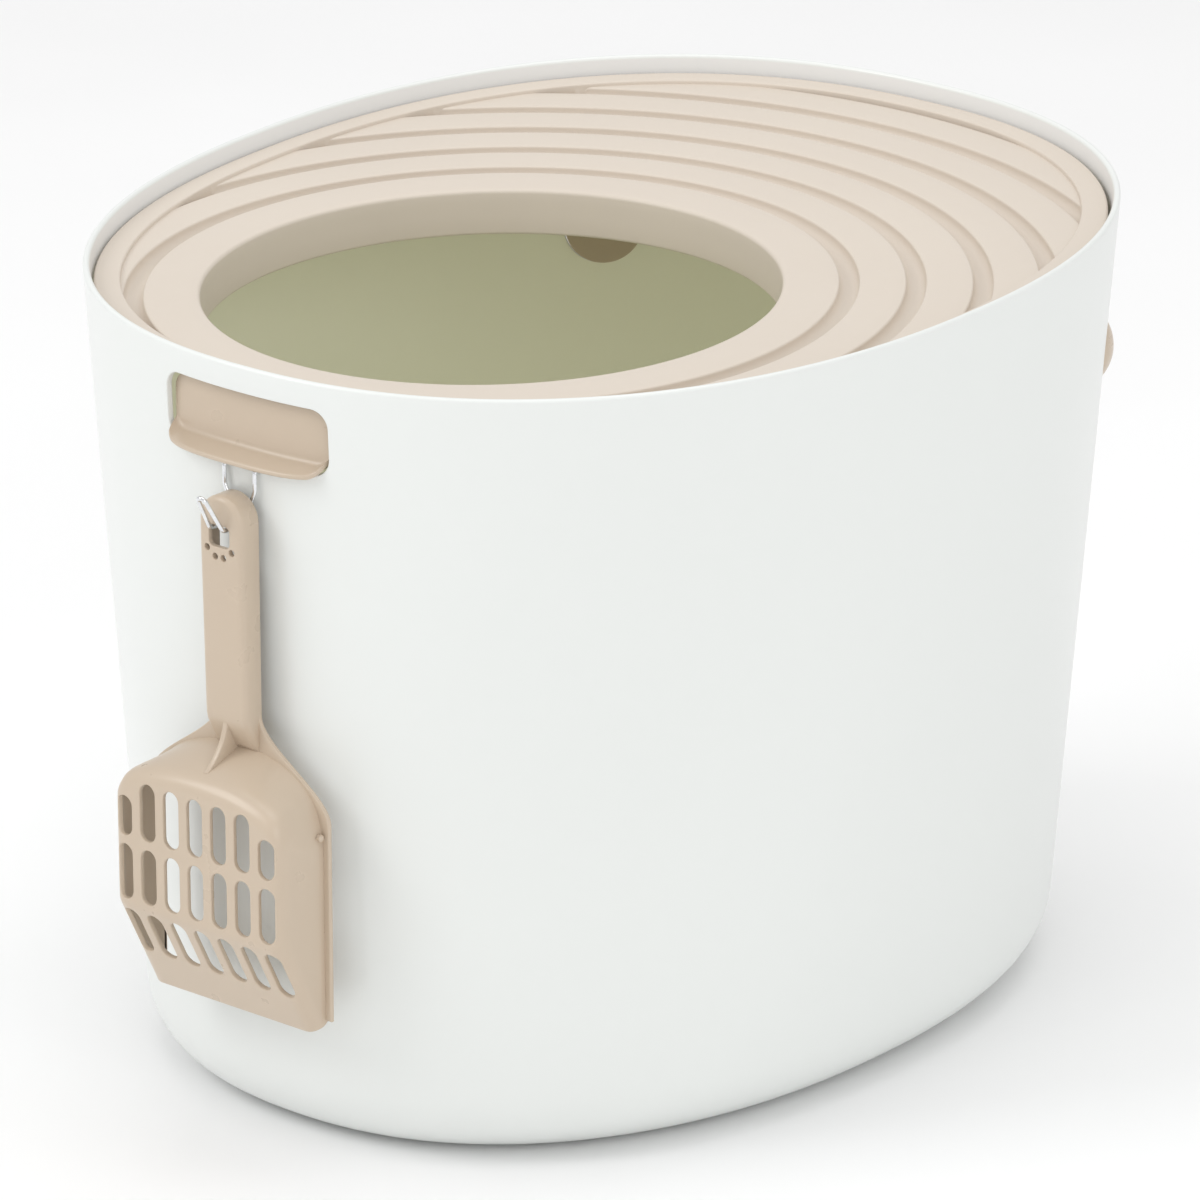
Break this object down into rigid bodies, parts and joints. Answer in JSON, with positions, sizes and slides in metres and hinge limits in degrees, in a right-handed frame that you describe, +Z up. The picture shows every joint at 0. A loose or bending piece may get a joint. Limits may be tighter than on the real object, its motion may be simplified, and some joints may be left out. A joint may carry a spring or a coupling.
{
  "type": "top-entry cat litter box",
  "caption": "Oval top-entry cat litter box: tapered tub, sunk grooved lid with a round entry hole, snap latches, and a slotted scoop on a wire hook",
  "frame": {"origin": "centre of the flat underside of the tub", "axes": "+Z up, -Y towards the front, where the entry hole, the ledge and the scoop are; +X to the right seen from the front"},
  "size_m": [0.4084, 0.5053, 0.3661],
  "materials": {
    "tub_plastic": "satin",
    "lid_plastic": "satin",
    "latch_plastic": "satin",
    "hook_wire": "polished",
    "scoop_plastic": "satin"
  },
  "bodies": {
    "tub": {"tub": "tub_plastic"},
    "lid": {"lid": "lid_plastic"},
    "front_latch": {"front_latch": "latch_plastic"},
    "left_latch": {"left_latch": "latch_plastic"},
    "right_latch": {"right_latch": "latch_plastic"},
    "scoop_hook": {"scoop_hook": "hook_wire"},
    "scoop": {"scoop": "scoop_plastic"}
  },
  "joints": [
    {"name": "lid_lift", "type": "slide", "parent": "tub", "child": "lid", "axis": [0, 0, 1], "range_m": [0, 0.032]},
    {"name": "front_latch_swing", "type": "hinge", "parent": "lid", "child": "front_latch", "pos_m": [0, -0.22356, 0.33359], "axis": [1, 0, 0], "range_deg": [0, 27.6]},
    {"name": "left_latch_swing", "type": "hinge", "parent": "lid", "child": "left_latch", "pos_m": [-0.14098, 0.17012, 0.3454], "axis": [-0.6691, -0.7431, 0], "range_deg": [0, 29.4]},
    {"name": "right_latch_swing", "type": "hinge", "parent": "lid", "child": "right_latch", "pos_m": [0.14098, 0.17012, 0.3454], "axis": [-0.6691, 0.7431, 0], "range_deg": [0, 29.4]},
    {"name": "hook_swing", "type": "hinge", "parent": "tub", "child": "scoop_hook", "pos_m": [0, -0.23315, 0.308], "axis": [-1, 0, 0], "range_deg": [0, 11]},
    {"name": "scoop_lift", "type": "slide", "parent": "scoop_hook", "child": "scoop", "axis": [0, 0, 1], "range_m": [0, 0.0065]}
  ],
  "couplings": [
    {"joint": "front_latch_swing", "follows": "lid_lift", "rad_per_m": 15},
    {"joint": "left_latch_swing", "follows": "lid_lift", "rad_per_m": 16},
    {"joint": "right_latch_swing", "follows": "lid_lift", "rad_per_m": 16}
  ]
}
